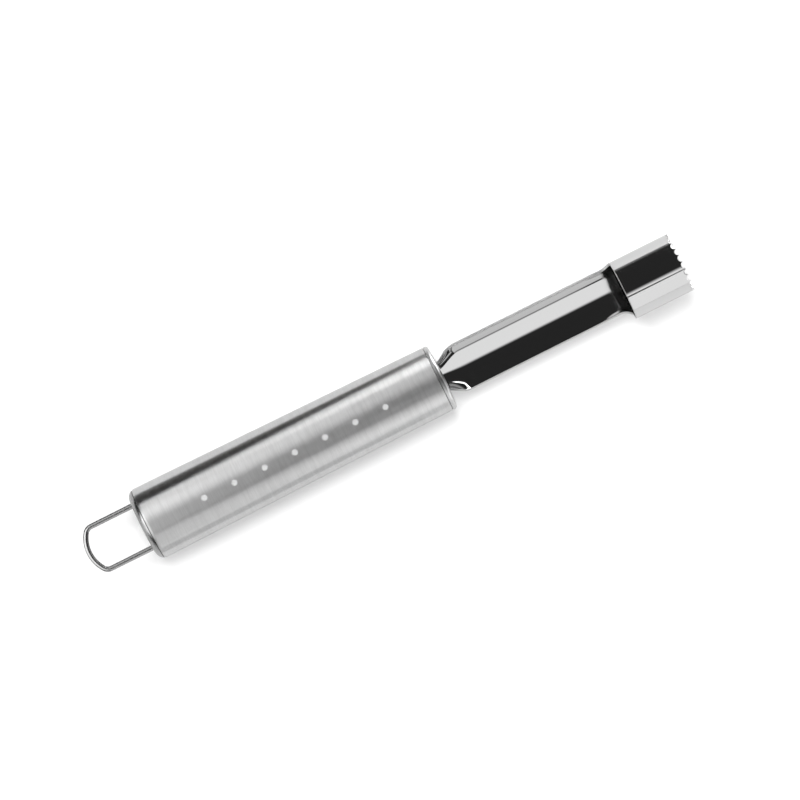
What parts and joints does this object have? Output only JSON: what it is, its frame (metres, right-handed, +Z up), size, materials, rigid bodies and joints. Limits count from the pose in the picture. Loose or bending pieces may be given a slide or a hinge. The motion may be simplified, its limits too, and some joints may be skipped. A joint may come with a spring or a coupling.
{
  "type": "apple corer",
  "caption": "Stainless steel apple corer: hollow round handle with capped ends and a wire loop, and an open trough blade that ends in a toothed tube.",
  "frame": {"origin": "on the floor that the corer lies on, under the middle of its box", "axes": "+X runs along the handle from the hanging loop to the cutting teeth, +Z is up, and the blade's seam leans towards -Y"},
  "size_m": [0.2314, 0.0266, 0.0294],
  "materials": {
    "brushed_shell": "brushed round the handle",
    "polished_caps": "polished",
    "polished_wire": "polished wire",
    "mirror_blade": "mirror polished"
  },
  "bodies": {
    "root": {"handle_shell": "brushed_shell", "front_cap": "polished_caps", "rear_cap": "polished_caps", "hanging_loop": "polished_wire", "corer_blade": "mirror_blade"}
  },
  "joints": []
}
